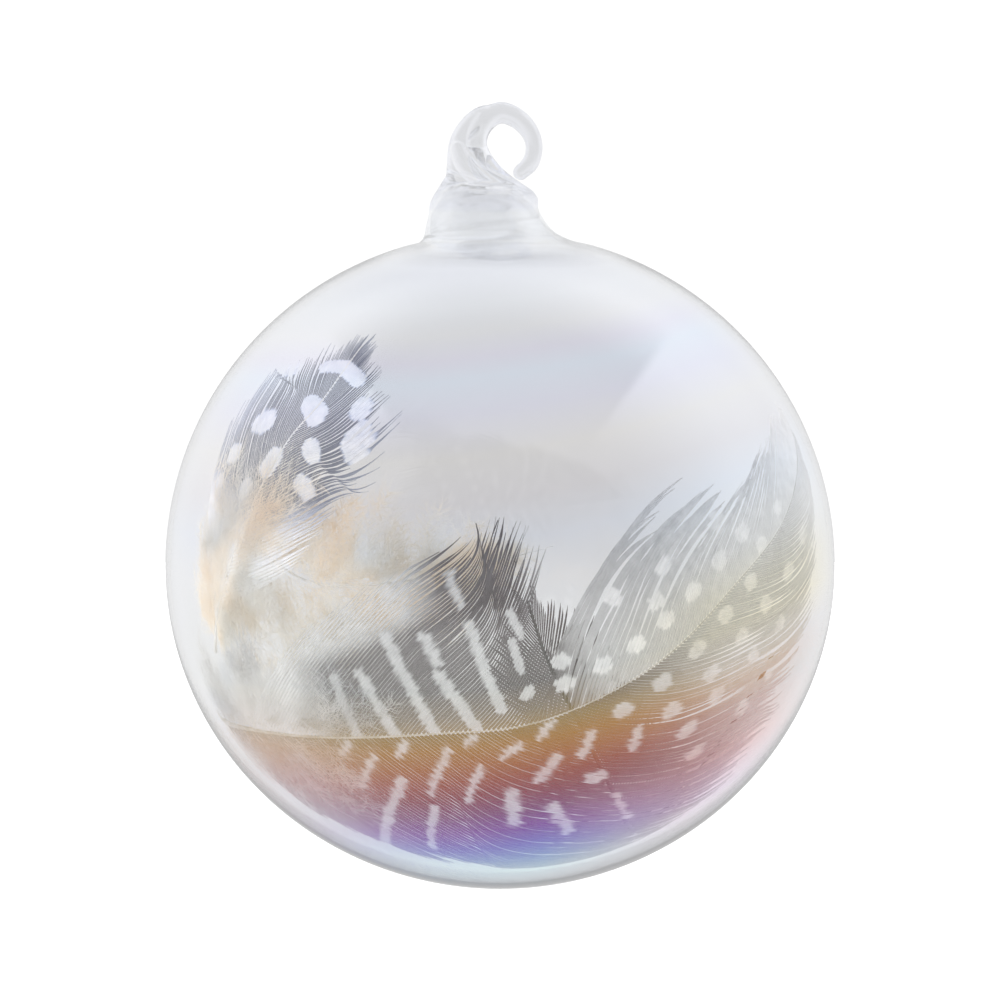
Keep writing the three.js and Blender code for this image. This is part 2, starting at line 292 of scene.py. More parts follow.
def vane(name, lay, hand, rows, looks, seed, material, body, node):
    """One side of a vane, barb by barb. rows are (start along the shaft, angle from the shaft at
    the barb's root, angle at its tip, length); looks holds the pitch, the pattern and how far
    the tips part."""
    rng = np.random.default_rng(seed)
    rows = np.array(rows, float)
    first, last = rows[[0, -1], 0]
    count = int((last - first) / looks["pitch"])
    steps = looks["steps"]
    start = np.linspace(first, last, count) + rng.normal(0, UNEVEN, count)
    angle_root, angle_tip, length = [stations(rows[:, [0, k]])(start) for k in (1, 2, 3)]
    angle_root, angle_tip = np.radians(angle_root), np.radians(angle_tip)
    length = length * (1 - looks["ragged"] * rng.random(count) ** 2)
    # Neighbouring barbs hold together in locks that part near their tips
    lock = np.cumsum(rng.random(count) < 1 / looks["lock"])
    lock_turn = rng.normal(0, looks["part"], lock[-1] + 1)[lock]
    middle = np.array([start[lock == k].mean() for k in lock])
    own_turn = rng.normal(0, looks["stray"], count)
    u = np.linspace(0, 1, steps)
    bend = u ** 1.2
    phi = angle_root[:, None] + (angle_tip - angle_root)[:, None] * bend
    phi = phi + lock_turn[:, None] * smooth_step(u, LOCK_TURNS, 1)
    phi = phi + own_turn[:, None] * smooth_step(u, BARB_TURNS, 1)
    phi = phi + WAVER * np.sin(WAVER_PACE * start[:, None] + WAVER_OUT * u)
    step = (length / (steps - 1))[:, None]
    s = np.zeros((count, steps))
    a = np.zeros((count, steps))
    a[:, 0] = start
    s[:, 0] = ROOT
    for k in range(1, steps):
        s[:, k] = s[:, k - 1] + step[:, 0] * np.sin(phi[:, k])
        squeeze = np.maximum(np.cos(s[:, k] / MAIN_RADIUS), 0.3)
        a[:, k] = a[:, k - 1] + step[:, 0] * np.cos(phi[:, k]) / squeeze
    a = a + (middle - start)[:, None] * looks["gather"] * smooth_step(u, GATHERS, 1)
    ripple = looks["ripple"] * np.sin(start * RIPPLE_PACE + seed)[:, None]
    ripple = ripple * smooth_step(u, 0.1, 1)
    lift = ripple + rng.normal(0, UNEVEN, count)[:, None]
    paths, out = lay.point(a, hand * s, lift)
    jag = rng.uniform(-looks["jag"], looks["jag"], count)[:, None]
    spots = spot_whiteness(a + jag * np.cos(phi), hand * (s + jag * np.sin(phi)), looks["bars"])
    white = np.maximum(looks["spot"](a) * spots, looks["pale"](a, hand * s))
    # A barb covers most of the room up to its neighbour, all of it in the white spots
    heading = unit(np.gradient(paths, axis=1))
    room = np.linalg.norm(np.cross(heading[:-1], paths[1:] - paths[:-1]), axis=-1)
    room = np.vstack([room[:1], room])
    room[1:-1] = (room[1:-1] + room[2:]) / 2
    room = np.clip(room, LEAST_ROOM, MOST_ROOM)
    cover = looks["cover"] * (1 - looks["thin"] * smooth_step(u, THINS, 1))
    cover = cover * (1 + 0.02 * rng.standard_normal(count))[:, None]
    cover = cover * (1 - looks["open"](a, hand * s))
    cover = cover + (SPOT_COVER - cover) * spots
    taper = 1 - (1 - TIP_WIDTH) * smooth_step(u, TAPERS, 1)
    half_width = room * cover / 2 * taper
    half_height = BARB_HEIGHT + BARB_HEIGHT_SHARE * half_width
    points, faces = strands(paths, half_width, half_height, out)
    colour = np.repeat(white.reshape(-1), 3)
    return make_piece(name, points, faces, material, body, [node], smooth=False, colour=colour)


# ---- down

# The steps along a barb, how far in mm its start is from even, and its shortest and longest share
# of the length in its row
DOWN_STEPS, DOWN_SCATTER, SHORTEST, LONGEST = 20, 0.3, 0.5, 1.08
# Two waves bend each barb: their pace along it, and how strong the quick one is
SLOW_WAVE, QUICK_WAVE, QUICK_SHARE, WAVE_BEND = 4.5, 11, 0.6, 3


def down(name, lay, hand, rows, looks, seed, material, body, node, slot="down"):
    """Loose down beside a shaft: wavering barbs that carry fine barbules on both sides. rows are
    (start along the shaft, angle from the shaft, length of the barbs)."""
    rng = np.random.default_rng(seed)
    rows = np.array(rows, float)
    count, steps = looks["count"], DOWN_STEPS
    start = np.linspace(rows[0][0], rows[-1][0], count) + rng.normal(0, DOWN_SCATTER, count)
    start = np.maximum(start, 0)
    angle, length = [stations(rows[:, [0, k]])(start) for k in (1, 2)]
    angle = np.radians(angle) + rng.normal(0, looks["spread"], count)
    length = length * rng.uniform(SHORTEST, LONGEST, count)
    u = np.linspace(0, 1, steps)
    phases = rng.uniform(0, 2 * np.pi, (3, count, 1))
    slow = looks["curl"] * np.sin(phases[0] + SLOW_WAVE * u)
    quick = QUICK_SHARE * looks["curl"] * np.sin(phases[1] + QUICK_WAVE * u)
    turn = np.cumsum((slow + quick) / steps, axis=1)
    phi = angle[:, None] + WAVE_BEND * turn - looks["forward"] * u
    step = (length / (steps - 1))[:, None]
    s = 0.15 + np.cumsum(step * np.sin(phi), axis=1)
    a = start[:, None] + np.cumsum(step * np.cos(phi), axis=1)
    low, high = looks["shell"]
    lift = rng.uniform(low, high, count)[:, None] * smooth_step(u, 0, 0.35)
    lift = lift + 0.25 * (high - low) * np.sin(phases[2] + 6 * u) * smooth_step(u, 0.1, 0.6)
    lift = np.clip(lift, low, high)
    paths, out = lay.point(a, hand * s, lift)
    r = looks["barb"] * (1 - 0.75 * u) * np.ones((count, 1))
    points, faces = strands(paths, r, r, out)
    # Barbules stand off each barb to both sides
    number = np.maximum((looks["barbules"] * length / length.mean()).astype(int), 4)
    row = np.repeat(np.arange(count), number)
    at = rng.uniform(0.03, 1, len(row))
    where = at * (steps - 1)
    i = np.clip(where.astype(int), 0, steps - 2)
    f = (where - i)[:, None]
    root = paths[row, i] * (1 - f) + paths[row, i + 1] * f
    up = unit(out[row, i])
    ahead = unit(paths[row, i + 1] - paths[row, i])
    side = np.cross(up, ahead) * np.where(rng.random(len(row)) < 0.5, -1.0, 1.0)[:, None]
    lean = rng.uniform(0.35, 1.4, len(row))[:, None]
    reach = looks["reach"] * rng.uniform(0.5, 1.25, len(row)) * (1.1 - 0.5 * at)
    reach = (reach * np.minimum(1, length[row] / 6))[:, None]
    way = unit(np.cos(lean) * ahead + np.sin(lean) * side + rng.normal(0, 0.14, (len(row), 1)) * up)
    droop = unit(way + 0.7 * ahead + rng.normal(0, 0.45, (len(row), 3)))
    middle = root + 0.5 * reach * way
    thread = np.stack([root, middle, middle + 0.5 * reach * droop], axis=1)
    far = np.linalg.norm(thread, axis=-1, keepdims=True)
    base = lay.radius_at(unit(thread))[..., None]
    thread = thread / far * np.clip(far, base + low - 0.1, base + high + 0.1)
    thickness = looks["barbule"] * rng.uniform(0.7, 1.3, len(row))
    more, more_faces = spikes(thread, thickness, up)
    faces = faces + [f + len(points) for f in more_faces]
    points = np.concatenate([points, more])
    return make_piece(name, points, faces, material, body, [node], smooth=False)


def both_sides(make, lay, nodes, rows, looks, seed, material, body, **settings):
    """A vane, or down, on the left and then on the right of a shaft. Its pieces are named after
    its CAD nodes."""
    for k, hand in enumerate((1, -1)):
        name = nodes[k].replace("vane", "barbs").replace("down", "fluff")
        make(name, lay, hand, rows[k], looks[k], seed + k, material, body, nodes[k], **settings)


# ---- materials

class Nodes:
    """Makes the nodes of a material or a world, without groups."""

    def __init__(self, owner, output="ShaderNodeOutputMaterial"):
        owner.use_nodes = True
        self.owner = owner
        self.tree = owner.node_tree
        self.tree.nodes.clear()
        self.output = self.tree.nodes.new(output)

    def add(self, kind, inputs=None, **settings):
        node = self.tree.nodes.new(kind)
        for key, value in settings.items():
            setattr(node, key, value)
        for key, value in (inputs or {}).items():
            if isinstance(value, bpy.types.NodeSocket):
                self.tree.links.new(value, node.inputs[key])
            else:
                node.inputs[key].default_value = value
        return node

    def math(self, operation, *values, clamp=False):
        inputs = dict(enumerate(values))
        return self.add("ShaderNodeMath", inputs, operation=operation, use_clamp=clamp).outputs[0]

    def ramp(self, factor, rows, interpolation="EASE"):
        node = self.add("ShaderNodeValToRGB", {"Fac": factor})
        band = node.color_ramp
        band.interpolation = interpolation
        while len(band.elements) > 1:
            band.elements.remove(band.elements[-1])
        for k, (at, colour) in enumerate(rows):
            element = band.elements[0] if k == 0 else band.elements.new(at)
            element.position = at
            element.color = (*colour, 1)
        return node.outputs["Color"]

    def mix_colour(self, factor, a, b, blend="MIX"):
        settings = {"data_type": "RGBA", "blend_type": blend}
        return self.add("ShaderNodeMix", {0: factor, 6: a, 7: b}, **settings).outputs[2]

    def times(self, a, b):
        """Colour a multiplied by colour b."""
        return self.mix_colour(1.0, a, b, "MULTIPLY")

    def noise(self, place, scale, detail):
        inputs = {"Vector": place, "Scale": scale, "Detail": detail}
        return self.add("ShaderNodeTexNoise", inputs).outputs["Fac"]

    def surface(self, shader):
        self.tree.links.new(shader, self.output.inputs["Surface"])
        return self.owner


# Fine down looks blotched where it lies in clumps: the size of the clumps and their two tints
CLUMP_SCALE, CLUMP_SHADE, CLUMP_LIGHT = 90.0, (0.91, 0.94, 0.985), (1, 1, 1)
# The white of a feather where it is down rather than a spot
DOWN_WHITE = (0.92, 0.91, 0.9)


def hair(name, dark, light, through, roughness, grain, has_pattern):
    """Keratin thread: diffuse and faintly glossy, and it lets some light through. With a pattern
    its shade follows the attribute 'white'."""
    n = Nodes(bpy.data.materials.new(name))
    place = n.add("ShaderNodeTexCoord").outputs["Object"]
    noise = n.noise(place, grain, 3.0)
    if has_pattern:
        white = n.add("ShaderNodeAttribute", attribute_name="white").outputs["Fac"]
        uneven = n.math("MULTIPLY_ADD", noise, 0.3, 0.85)
        grey = tuple(0.75 * d + 0.25 * l for d, l in zip(dark, light))
        shade = n.ramp(
            n.math("MULTIPLY", white, uneven, clamp=True),
            [(0, dark), (0.25, grey), (SPOT, light), (1, DOWN_WHITE)], "LINEAR",
        )
    else:
        shade = n.ramp(noise, [(0.3, dark), (0.7, light)])
        tint = n.ramp(n.noise(place, CLUMP_SCALE, 1.0), [(0.35, CLUMP_SHADE), (0.6, CLUMP_LIGHT)])
        shade = n.times(shade, tint)
    bump = n.add("ShaderNodeBump", {"Height": noise, "Strength": 0.25, "Distance": 0.00005})
    front = n.add(
        "ShaderNodeBsdfPrincipled",
        {"Base Color": shade, "Roughness": roughness, "Normal": bump.outputs["Normal"]},
    )
    back = n.add("ShaderNodeBsdfTranslucent", {"Color": shade})
    both = n.add(
        "ShaderNodeMixShader", {"Fac": through, 1: front.outputs["BSDF"], 2: back.outputs["BSDF"]}
    )
    return n.surface(both.outputs["Shader"])


# How much light passes, the roughness, the scale of the grain, and whether it has a pattern
VANE_FINISH, DOWN_FINISH = (0.25, 0.55, 900.0, True), (0.5, 0.8, 160.0, False)
QUILL_FINISH = (0.4, 500.0, False)

vane_look = hair("barred_vane", (0.045, 0.03, 0.034), (0.5, 0.5, 0.5), *VANE_FINISH)
slate_look = hair("slate_vane", (0.052, 0.056, 0.088), (0.53, 0.57, 0.67), *VANE_FINISH)
back_look = hair("brown_vane", (0.075, 0.045, 0.05), (0.6, 0.58, 0.57), *VANE_FINISH)
grey_down_look = hair("grey_down", (0.7, 0.69, 0.68), (0.87, 0.86, 0.85), *DOWN_FINISH)
cream_look = hair("cream_down", (0.93, 0.85, 0.72), (0.96, 0.93, 0.87), *DOWN_FINISH)
quill_look = hair("pale_quill", (0.33, 0.31, 0.27), (0.5, 0.48, 0.44), 0.15, *QUILL_FINISH)
white_quill_look = hair("white_quill", (0.74, 0.72, 0.68), (0.88, 0.86, 0.83), 0.3, *QUILL_FINISH)
dark_quill_look = hair("dark_quill", (0.02, 0.015, 0.015), (0.05, 0.035, 0.03), 0.02, *QUILL_FINISH)


# How high, in mm above the globe's centre, and the share of light that goes straight through
PLAIN_ROWS = [(36.6, 0.0), (39.4, 0.6), (43.0, 0.6), (45.5, 0.15)]

# The film's colours lie in bands round the globe. A band's place is how far it is below the
# globe's centre, in mm, plus a rise to both sides of MIDDLE_X and a little waver.
MIDDLE_X, BAND_RISE, BAND_WAVER = -14.9, 0.0047, 2.4
FIRST_BAND, LAST_BAND = -45.0, 45.0
# What the film lets through, and what it reflects, by the band's place
FILM_PASSED = [
    (-45, 0.9, 0.91, 0.94), (-38, 0.85, 0.87, 0.91), (-34, 0.81, 0.83, 0.87),
    (-30, 0.9, 0.915, 0.935), (-26.5, 0.92, 0.92, 0.93), (-23.5, 0.88, 0.87, 0.95),
    (-21, 0.86, 0.91, 0.99), (-17, 0.87, 0.87, 0.95), (-12, 0.91, 0.89, 0.87),
    (-6.8, 0.87, 0.85, 0.86), (-2, 0.87, 0.89, 0.94), (3, 0.93, 0.93, 0.94), (15, 0.92, 0.92, 0.9),
    (17.5, 0.8, 0.81, 0.86), (19.5, 0.6, 0.67, 0.82), (21.4, 0.5, 0.63, 0.78),
    (23.5, 0.47, 0.66, 0.75), (25.5, 0.53, 0.71, 0.76), (27.5, 0.6, 0.76, 0.78),
    (29.5, 0.62, 0.75, 0.7), (31.5, 0.55, 0.67, 0.56), (33.5, 0.58, 0.7, 0.48),
    (35, 0.66, 0.75, 0.48), (37, 0.68, 0.72, 0.52), (39.5, 0.7, 0.75, 0.72), (45, 0.84, 0.87, 0.88),
]
FILM_REFLECTED = [
    (-45, 0.08, 0.08, 0.09), (-24, 0.1, 0.1, 0.11), (-10, 0.1, 0.1, 0.11), (0, 0.08, 0.08, 0.08),
    (14.5, 0.05, 0.05, 0.04), (17.5, 0.13, 0.1, 0.04), (19.5, 0.25, 0.16, 0.03),
    (21.4, 0.31, 0.14, 0), (23.5, 0.3, 0.09, 0), (25.5, 0.24, 0.03, 0), (27.5, 0.17, 0, 0.02),
    (29.5, 0.13, 0, 0.1), (31.5, 0.12, 0, 0.23), (33.5, 0.07, 0.04, 0.37), (35, 0.06, 0.11, 0.41),
    (37, 0.12, 0.25, 0.44), (39.5, 0.26, 0.31, 0.36), (45, 0.12, 0.12, 0.14),
]
# The tint that the upper bands take on the right, and the pale mauve of the lower ones
RIGHT_TINT = [
    (-8, 0.96, 0.98, 1.0), (1, 0.93, 0.97, 1.0), (6, 0.97, 0.98, 0.97), (11, 0.98, 0.94, 0.8),
    (15, 1.0, 0.94, 0.78), (19, 1.0, 0.99, 0.97),
]
MAUVE_PASSED = [
    (26, 0.68, 0.66, 0.62), (30, 0.7, 0.62, 0.6), (34, 0.72, 0.66, 0.7), (38, 0.76, 0.74, 0.76),
]
MAUVE_REFLECTED = [
    (26, 0.22, 0.06, 0.02), (30, 0.2, 0.05, 0.07), (34, 0.18, 0.08, 0.17), (38, 0.18, 0.14, 0.18),
]
# Where each of the two sets in: mm from MIDDLE_X, then its share for each mm beyond. The mauve
# sets in by the band's place too.
TINT_FROM, TINT_RATE = 26.9, 0.083
MAUVE_FROM, MAUVE_RATE = 20.0, 0.06
MAUVE_BAND, MAUVE_BAND_RATE = 24.0, 0.2
# The plain sheen that the film fades to at the globe's edge, and how far round the edge begins
SHEEN_PASSED, SHEEN_REFLECTED = (0.93, 0.94, 0.95, 1), (0.1, 0.1, 0.11, 1)
EDGE_FROM, EDGE_RATE = 0.6, 3.0
PLAIN_PASSED = (0.985, 0.99, 1, 1)
WHITE, BLACK = (1, 1, 1, 1), (0, 0, 0, 1)


def film_colours(n, place, x, z):
    """What the film lets through and what it reflects, only on the side that faces the eye."""
    x = n.math("MULTIPLY_ADD", x, 1 / MM, -CENTRE[0] / MM - MIDDLE_X)
    band = n.math("MULTIPLY_ADD", n.math("MULTIPLY", x, x), BAND_RISE, z)
    waver = n.math("MULTIPLY_ADD", n.noise(place, 35.0, 1.0), BAND_WAVER, -BAND_WAVER / 2)
    band = n.math("ADD", band, waver)
    f = n.math("DIVIDE", n.math("SUBTRACT", band, FIRST_BAND), LAST_BAND - FIRST_BAND)

    def colours(rows):
        span = LAST_BAND - FIRST_BAND
        return n.ramp(f, [((at - FIRST_BAND) / span, colour) for at, *colour in rows], "LINEAR")

    def share(value, start, rate):
        return n.math("MULTIPLY", n.math("SUBTRACT", value, start), rate, clamp=True)

    passed, reflected = colours(FILM_PASSED), colours(FILM_REFLECTED)
    tint = n.mix_colour(share(x, TINT_FROM, TINT_RATE), WHITE, colours(RIGHT_TINT))
    passed = n.times(passed, tint)
    mauve = n.math("MULTIPLY", share(band, MAUVE_BAND, MAUVE_BAND_RATE), share(x, MAUVE_FROM, MAUVE_RATE))
    passed = n.mix_colour(mauve, passed, colours(MAUVE_PASSED))
    reflected = n.mix_colour(mauve, reflected, colours(MAUVE_REFLECTED))
    facing = n.add("ShaderNodeLayerWeight", {"Blend": 0.5}).outputs["Facing"]
    edge = share(facing, EDGE_FROM, EDGE_RATE)
    passed = n.mix_colour(edge, passed, SHEEN_PASSED)
    reflected = n.mix_colour(edge, reflected, SHEEN_REFLECTED)
    outside = n.math("SUBTRACT", 1.0, n.add("ShaderNodeNewGeometry").outputs["Backfacing"])
    return n.mix_colour(outside, WHITE, passed), n.mix_colour(outside, BLACK, reflected)


def glass(name, film, bending, clearness):
    """Clear glass, with the pearly film on the outside if film is set. Shadows and soft light pass
    it unbent. In the neck, and less so in the hook, a share of all light goes straight through."""
    n = Nodes(bpy.data.materials.new(name))
    place = n.add("ShaderNodeTexCoord").outputs["Object"]
    xyz = n.add("ShaderNodeSeparateXYZ", {"Vector": place})
    z = n.math("MULTIPLY_ADD", xyz.outputs["Z"], -1 / MM, CENTRE[2] / MM)
    passed = PLAIN_PASSED
    if film:
        passed, reflected = film_colours(n, place, xyz.outputs["X"], z)
    body = n.add("ShaderNodeBsdfRefraction", {"Color": passed, "IOR": bending, "Roughness": 0.0})
    if film:
        film_shine = n.add("ShaderNodeBsdfGlossy", {"Color": reflected, "Roughness": 0.04})
        body = n.add("ShaderNodeAddShader", {0: body.outputs[0], 1: film_shine.outputs[0]})
    shine = n.add("ShaderNodeBsdfGlossy", {"Color": WHITE, "Roughness": 0.0})
    fresnel = n.add("ShaderNodeFresnel", {"IOR": bending}).outputs["Fac"]
    clear = n.add("ShaderNodeMixShader", {"Fac": fresnel, 1: body.outputs[0], 2: shine.outputs[0]})
    path = n.add("ShaderNodeLightPath")
    straight = n.math("MAXIMUM", path.outputs["Is Shadow Ray"], path.outputs["Is Diffuse Ray"])
    shares = []
    for (low, share_low), (high, share_high) in (PLAIN_ROWS[:2], PLAIN_ROWS[2:]):
        ends = {"From Min": -low, "From Max": -high, "To Min": share_low, "To Max": share_high}
        shares.append(n.add("ShaderNodeMapRange", {"Value": z, **ends}).outputs["Result"])
    straight = n.math("MAXIMUM", straight, n.math("MINIMUM", *shares))
    open_air = n.add("ShaderNodeBsdfTransparent", {"Color": (*clearness, 1)})
    made = n.add(
        "ShaderNodeMixShader", {"Fac": straight, 1: clear.outputs[0], 2: open_air.outputs[0]}
    )
    return n.surface(made.outputs["Shader"])


CLEAR = (0.98, 0.985, 0.99)
outer_glass = glass("pearly_glass", True, 1.5, CLEAR)
inner_glass = glass("clear_glass", False, 1.5, CLEAR)
# The drawn neck and rod look nearly even, so they bend the light less than the ball does
rod_glass = glass("rod_glass", True, 1.4, (0.955, 0.96, 0.975))
ROD_FROM = 42.5


# ---- glass

GLOBE_R, GLOBE_TOP, GLOBE_BOTTOM = 40.0, 39.8, 38.7
INNER_R, INNER_TOP, INNER_BOTTOM = 39.4, 38.9, 37.3
LEAN_FROM, LEAN_MM, LEAN_OVER = 38.3, 2.0, 1.6
AROUND = 224


def curve_through(points, count):
    """A smooth line through points in the plane, with count points evenly along it."""
    p = np.array(points, float)
    p = np.vstack([2 * p[0] - p[1], p, 2 * p[-1] - p[-2]])
    fine = []
    for i in range(len(p) - 3):
        for t in np.linspace(0, 1, 24, endpoint=i == len(p) - 4):
            a, b, c, d = p[i : i + 4]
            fine.append(
                0.5 * (2 * b + (c - a) * t + (2 * a - 5 * b + 4 * c - d) * t * t
                       + (3 * b - a - 3 * c + d) * t ** 3)
            )
    fine = np.array(fine)
    run = np.concatenate([[0], np.cumsum(np.linalg.norm(np.diff(fine, axis=0), axis=1))])
    at = np.linspace(0, run[-1], count)
    return np.stack([np.interp(at, run, fine[:, k]) for k in range(fine.shape[1])], -1)


def turned(profile, around, lean_mm):
    """A surface turned round the axis from the lower pole to the upper one, leaning at the neck."""
    r, z = profile[1:-1, 0], profile[1:-1, 1]
    turn = 2 * np.pi * np.arange(around) / around
    lean = lean_at(z) * lean_mm / LEAN_MM
    x = r[:, None] * np.sin(turn) + lean[:, None]
    y = -r[:, None] * np.cos(turn)
    rings = np.stack([x, y, np.broadcast_to(z[:, None], x.shape)], -1).reshape(-1, 3)
    poles = [[0, 0, profile[0, 1]], [lean[-1], 0, profile[-1, 1]]]
    points = np.vstack([rings, poles])
    rows = len(r)
    i = (np.arange(rows - 1) * around)[:, None]
    k = np.arange(around)[None, :]
    k_next = (k + 1) % around
    quads = np.stack([i + k, i + k_next, i + around + k_next, i + around + k], -1).reshape(-1, 4)
    k, k_next = k[0], k_next[0]
    top = (rows - 1) * around
    south = np.stack([np.full(around, rows * around), k_next, k], -1)
    north = np.stack([np.full(around, rows * around + 1), top + k, top + k_next], -1)
    return points, quads, np.concatenate([south, north])


def globe_profile(radius, bottom, top, neck_from, neck, rows):
    last = math.acos(neck_from / radius)
    angle = np.linspace(-np.pi / 2, last, rows)
    height = np.where(angle < 0, bottom, top)
    arc = np.stack([radius * np.cos(angle), height * np.sin(angle)], -1)
    arc[0, 0] = 0
    return np.vstack([arc, curve_through([arc[-1]] + neck, 40)[1:]])


outside = globe_profile(GLOBE_R, GLOBE_BOTTOM, GLOBE_TOP, 11.0, [(5.5, 39.42), (0, 39.8)], 100)
inside = globe_profile(
    INNER_R, INNER_BOTTOM, INNER_TOP, 10.4,
    [(9.2, 37.85), (8.3, 38.25), (7.6, 38.9), (7.1, 39.8), (6.7, 41.0), (6.2, 42.2), (5.5, 43.2),
     (4.6, 44.0), (3.3, 44.6), (1.7, 44.9), (0, 45.0)],
    100,
)


def ball():
    points, quads, caps = turned(outside, AROUND, 0)
    shell = make_piece("glass_ball", points, [quads, caps], outer_glass)
    points, quads, caps = turned(inside, AROUND, LEAN_MM)
    return shell, make_piece("cavity", points, [quads[:, ::-1], caps[:, ::-1]], inner_glass)


# The neck's radius by height, and the molten strands twisted together into the hook: each is
# x, y, z and half its thickness
NECK = [
    (35.5, 12.5), (36.8, 10.8), (37.7, 9.7), (38.4, 8.9), (39.0, 8.35), (39.7, 7.85), (40.4, 7.45),
    (41.2, 7.05), (42.6, 6.45), (43.6, 6.05), (44.4, 5.5), (45.0, 4.7), (45.5, 3.4), (45.9, 1.5),
]
RING = [
    (3.2, -0.5, 44.3, 0.8), (1.6, -1.1, 45.2, 0.95), (0.0, -1.4, 46.2, 1.1), (-1.75, -1.2, 48.0, 1.2),
    (-2.75, -0.8, 49.9, 1.28), (-2.65, -0.6, 51.6, 1.3), (-1.65, -0.3, 53.2, 1.3), (0, 0, 54.1, 1.3),
    (1.75, 0, 53.6, 1.24), (3.15, 0, 52.4, 1.15), (3.95, 0, 50.9, 1.05), (4.05, 0, 49.4, 1.02),
    (3.55, 0, 48.0, 1.05), (2.5, 0, 47.0, 0.95),
]
OUTER_STRAND = [
    (-6.55, -0.3, 43.0, 1.65), (-5.75, 0, 44.5, 1.75), (-4.9, 0.3, 46.1, 1.65), (-4.8, 0.5, 47.6, 1.6),
    (-4.8, 0.6, 49.1, 1.52), (-4.6, 0.5, 50.6, 1.45), (-3.95, 0.4, 52.0, 1.35), (-3.0, 0.3, 53.2, 1.2),
    (-1.9, 0.1, 54.0, 1.0), (-0.9, 0, 54.2, 0.7),
]
FRONT_STRAND = [
    (-5.0, -0.8, 49.8, 0.9), (-4.3, -1.8, 48.0, 1.15), (-2.7, -2.6, 46.6, 1.3), (-0.7, -2.8, 45.6, 1.25),
    (1.4, -2.3, 44.9, 1.15), (3.0, -1.4, 44.2, 1.0), (3.7, -0.2, 43.7, 0.8),
]
BACK_STRAND = [
    (-5.3, 1.2, 46.4, 1.2), (-3.6, 2.4, 45.6, 1.35), (-1.2, 2.8, 45.0, 1.3), (1.2, 2.2, 44.6, 1.2),
    (3.0, 1.0, 44.1, 0.9),
]
CORE = [(-2.4, 0.3, 44.6, 2.2), (-2.9, 0.4, 45.6, 2.3), (-3.4, 0.4, 47.0, 1.9), (-3.6, 0.2, 48.8, 1.4)]
CROWN_LOW, CROWN_HIGH, CROWN_CELL = (-14.3, -14.0, 35.9), (14.0, 14.0, 56.0), 0.22
CROWN_FLOOR, CROWN_REACH, SUNK = 36.4, 13.2, 0.12
# How softly shapes run into each other, in mm: strand and core, further strands, neck, globe
CORE_BLEND, STRAND_BLEND, NECK_BLEND, GLOBE_BLEND = 0.5, 0.3, 0.9, 1.1


def lean_at(z):
    return -LEAN_MM * (1 - np.exp(np.minimum(LEAN_FROM - z, 0) / LEAN_OVER))


def soft_least(a, b, blend):
    """The lesser of two distances, blended where they are nearly the same."""
    h = np.clip(0.5 + 0.5 * (b - a) / blend, 0, 1)
    return b + (a - b) * h - blend * h * (1 - h)


def strand_distance(p, line):
    """How far points p are outside a rod along a line whose thickness varies."""
    rows = curve_through(line, 3 * len(line))
    best = np.full(p.shape[:-1], 1e3)
    for first, second in zip(rows[:-1], rows[1:]):
        way = second[:3] - first[:3]
        f = np.clip(((p - first[:3]) @ way) / way.dot(way), 0, 1)
        gap = np.linalg.norm(p - first[:3] - f[..., None] * way, axis=-1)
        best = np.minimum(best, gap - first[3] - f * (second[3] - first[3]))
    return best


def crown_distance(p):
    """How far points p are outside the neck and hook. The globe's own surface, sunk a little, is
    part of the shape, so that the neck flows out of it."""
    z = p[..., 2]
    out = np.hypot(p[..., 0] - lean_at(z), p[..., 1]) - stations_straight(NECK)(z)
    neck = 0.8 * np.maximum(out, (z - 45.6))
    near = (z > 40.5) & (p[..., 0] > -9.2) & (p[..., 0] < 6) & (np.abs(p[..., 1]) < 4.9)
    q = p[near]
    strands_out = soft_least(strand_distance(q, OUTER_STRAND), strand_distance(q, CORE), CORE_BLEND)
    for line in (RING, FRONT_STRAND, BACK_STRAND):
        strands_out = soft_least(strands_out, strand_distance(q, line), STRAND_BLEND)
    twist = np.full(neck.shape, 5.0)
    twist[near] = strands_out
    globe = np.linalg.norm(p / np.array([GLOBE_R, GLOBE_R, GLOBE_TOP]), axis=-1) - 1
    whole = soft_least(neck, twist, NECK_BLEND)
    whole = soft_least(whole, GLOBE_TOP * globe + SUNK, GLOBE_BLEND)
    radius = np.hypot(p[..., 0], p[..., 1])
    return np.maximum(whole, np.maximum(CROWN_FLOOR - z, radius - CROWN_REACH))


